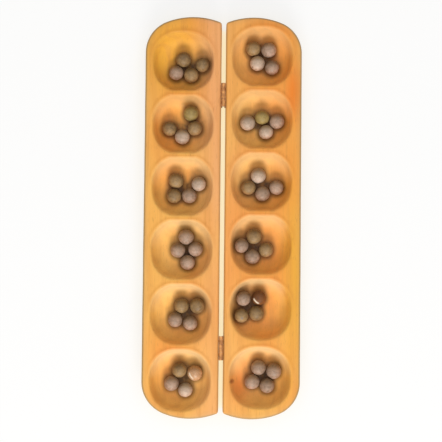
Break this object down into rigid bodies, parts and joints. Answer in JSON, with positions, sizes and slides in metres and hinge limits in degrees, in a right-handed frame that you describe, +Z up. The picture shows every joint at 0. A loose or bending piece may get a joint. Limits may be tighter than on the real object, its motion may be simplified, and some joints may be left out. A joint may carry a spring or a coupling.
{
  "type": "folding mancala board",
  "caption": "Hardwood pit-and-seed game board in two carved halves with rounded ends that fold face to face on butt hinges, with round seeds in the pits.",
  "frame": {"origin": "on the table under the hinge line, midway along the open board", "axes": "+X across the open board to the right half, +Y along the board to its far end, +Z up"},
  "size_m": [0.1878, 0.48, 0.0366],
  "materials": {
    "board_wood": "oiled orange-yellow hardwood, hand carved, satin",
    "seed_coat": "hard smooth grey-brown seed coat, slight gloss",
    "hinge_brass": "aged brass, brown tarnish",
    "screw_brass": "aged brass",
    "pin_steel": "plain drawn wire"
  },
  "bodies": {
    "left_half": {"left_board": "board_wood", "left_pit_1_seed_1": "seed_coat", "left_pit_1_seed_2": "seed_coat", "left_pit_1_seed_3": "seed_coat", "left_pit_1_seed_4": "seed_coat", "left_pit_2_seed_1": "seed_coat", "left_pit_2_seed_2": "seed_coat", "left_pit_2_seed_3": "seed_coat", "left_pit_2_seed_4": "seed_coat", "left_pit_3_seed_1": "seed_coat", "left_pit_3_seed_2": "seed_coat", "left_pit_3_seed_3": "seed_coat", "left_pit_3_seed_4": "seed_coat", "left_pit_4_seed_1": "seed_coat", "left_pit_4_seed_2": "seed_coat", "left_pit_4_seed_3": "seed_coat", "left_pit_4_seed_4": "seed_coat", "left_pit_5_seed_1": "seed_coat", "left_pit_5_seed_2": "seed_coat", "left_pit_5_seed_3": "seed_coat", "left_pit_5_seed_4": "seed_coat", "left_pit_6_seed_1": "seed_coat", "left_pit_6_seed_2": "seed_coat", "left_pit_6_seed_3": "seed_coat", "left_pit_6_seed_4": "seed_coat", "upper_hinge_left_leaf": "hinge_brass", "upper_hinge_left_screws": "screw_brass", "upper_hinge_pin": "pin_steel", "lower_hinge_left_leaf": "hinge_brass", "lower_hinge_left_screws": "screw_brass", "lower_hinge_pin": "pin_steel"},
    "right_half": {"right_board": "board_wood", "right_pit_1_seed_1": "seed_coat", "right_pit_1_seed_2": "seed_coat", "right_pit_1_seed_3": "seed_coat", "right_pit_1_seed_4": "seed_coat", "right_pit_2_seed_1": "seed_coat", "right_pit_2_seed_2": "seed_coat", "right_pit_2_seed_3": "seed_coat", "right_pit_2_seed_4": "seed_coat", "right_pit_3_seed_1": "seed_coat", "right_pit_3_seed_2": "seed_coat", "right_pit_3_seed_3": "seed_coat", "right_pit_3_seed_4": "seed_coat", "right_pit_4_seed_1": "seed_coat", "right_pit_4_seed_2": "seed_coat", "right_pit_4_seed_3": "seed_coat", "right_pit_4_seed_4": "seed_coat", "right_pit_5_seed_1": "seed_coat", "right_pit_5_seed_2": "seed_coat", "right_pit_5_seed_3": "seed_coat", "right_pit_5_seed_4": "seed_coat", "right_pit_6_seed_1": "seed_coat", "right_pit_6_seed_2": "seed_coat", "right_pit_6_seed_3": "seed_coat", "right_pit_6_seed_4": "seed_coat", "upper_hinge_right_leaf": "hinge_brass", "upper_hinge_right_screws": "screw_brass", "lower_hinge_right_leaf": "hinge_brass", "lower_hinge_right_screws": "screw_brass"}
  },
  "joints": [
    {"name": "fold", "type": "hinge", "parent": "left_half", "child": "right_half", "pos_m": [0, 0, 0.03415], "axis": [0, -1, 0], "range_deg": [0, 180]}
  ]
}
